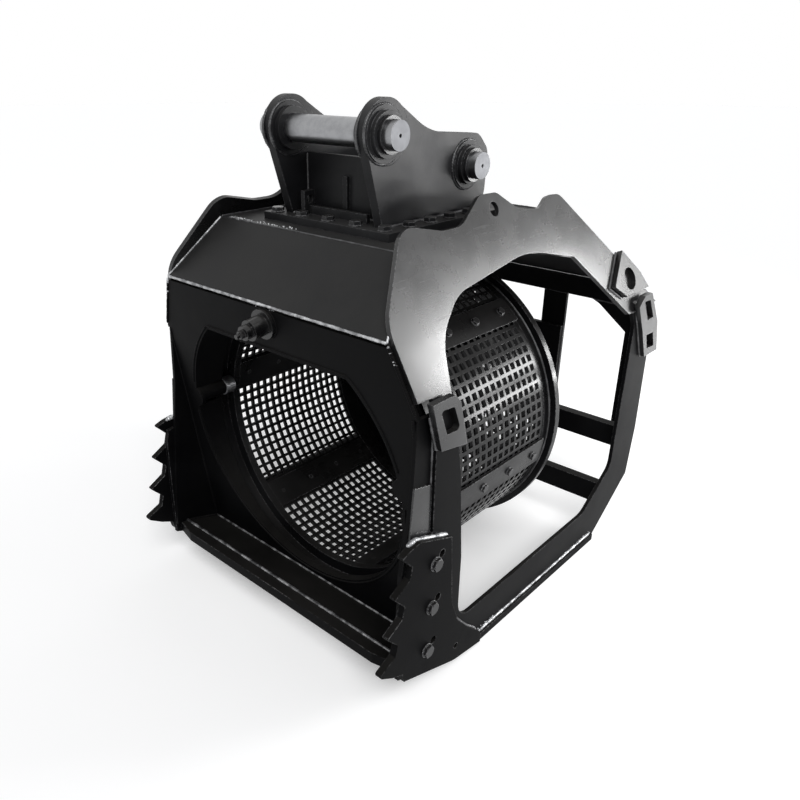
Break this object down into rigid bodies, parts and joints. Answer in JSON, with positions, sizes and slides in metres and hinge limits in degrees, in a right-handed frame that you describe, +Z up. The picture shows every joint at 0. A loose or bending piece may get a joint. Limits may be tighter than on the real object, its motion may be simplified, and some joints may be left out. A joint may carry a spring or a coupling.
{
  "type": "rotary screening bucket",
  "caption": "Rotary screening bucket for an excavator: driven drum with square-hole screen panels in an open steel frame with serrated side cutters and a pin-on hanger",
  "frame": {"origin": "on the ground plane, at the centre of the object's bounding box in X and Y", "axes": "+X to the machine's right seen from behind the mouth, +Y from the mouth to the drive, +Z up; the drum turns about a line along Y"},
  "size_m": [1.2, 1.6178, 1.668],
  "materials": {
    "black_paint": "gloss black paint over rolled plate, worn at the edges",
    "satin_black_paint": "smooth semi-gloss black paint with pale reflections",
    "wear_plate": "black paint on flame-cut wear plate",
    "screen_paint": "gloss black paint on perforated plate",
    "bolt_steel": "painted bolt heads, rubbed bright on their corners",
    "bright_steel": "turned steel"
  },
  "bodies": {
    "frame": {"side_frame_right": "black_paint", "side_frame_left": "black_paint", "throat_liners": "black_paint", "front_pads": "black_paint", "corner_pads": "black_paint", "front_bulkhead": "black_paint", "mouth_ring": "black_paint", "lip_plate": "black_paint", "belly_plate": "black_paint", "skid_strips": "black_paint", "rear_top_beam": "black_paint", "rear_gussets": "black_paint", "upper_cross_beam": "black_paint", "lower_cross_beam": "black_paint", "motor_posts": "black_paint", "motor_plate": "black_paint", "bearing_housing": "black_paint", "drive_motor": "black_paint", "roller_bosses": "black_paint", "side_wall_right": "satin_black_paint", "side_wall_left": "satin_black_paint", "hood_panel": "satin_black_paint", "roof_plate": "satin_black_paint", "rear_roof": "satin_black_paint", "hanger_flange": "satin_black_paint", "ear_right": "satin_black_paint", "ear_left": "satin_black_paint", "ear_bosses": "satin_black_paint", "ear_web": "satin_black_paint", "ear_tie": "satin_black_paint", "cutting_edge": "wear_plate", "side_cutter_right": "wear_plate", "side_cutter_left": "wear_plate", "cutter_bolts": "bolt_steel", "motor_fittings": "bolt_steel", "flange_bolts": "bolt_steel", "axle_caps": "bolt_steel", "pin_keepers": "bolt_steel", "roller_axles": "bolt_steel", "front_pin": "bright_steel", "rear_pin": "bright_steel", "shaft_bearings": "bright_steel", "grease_nipple": "bright_steel"},
    "drum": {"drum_front_ring": "black_paint", "drum_rear_ring": "black_paint", "drum_back": "black_paint", "drum_hub": "black_paint", "drum_bars": "black_paint", "panel_strips": "black_paint", "strip_bolts": "bolt_steel", "screen_panel_1": "screen_paint", "screen_panel_2": "screen_paint", "screen_panel_3": "screen_paint", "screen_panel_4": "screen_paint", "screen_panel_5": "screen_paint", "screen_panel_6": "screen_paint"},
    "roller_1": {"guide_roller_1": "bright_steel"},
    "roller_2": {"guide_roller_2": "bright_steel"},
    "roller_3": {"guide_roller_3": "bright_steel"}
  },
  "joints": [
    {"name": "drum_spin", "type": "hinge", "parent": "frame", "child": "drum", "pos_m": [0, 0, 0.614], "axis": [0, 1, 0], "continuous": true},
    {"name": "roller_1_spin", "type": "hinge", "parent": "frame", "child": "roller_1", "pos_m": [0, -0.468, 1.0677], "axis": [0, 1, 0], "continuous": true},
    {"name": "roller_2_spin", "type": "hinge", "parent": "frame", "child": "roller_2", "pos_m": [-0.48208, -0.468, 0.67319], "axis": [0, 1, 0], "continuous": true},
    {"name": "roller_3_spin", "type": "hinge", "parent": "frame", "child": "roller_3", "pos_m": [0.48208, -0.468, 0.67319], "axis": [0, 1, 0], "continuous": true}
  ],
  "couplings": [
    {"joint": "roller_1_spin", "follows": "drum_spin", "ratio": 8.0938},
    {"joint": "roller_2_spin", "follows": "drum_spin", "ratio": 16.188},
    {"joint": "roller_3_spin", "follows": "drum_spin", "ratio": 16.188}
  ]
}
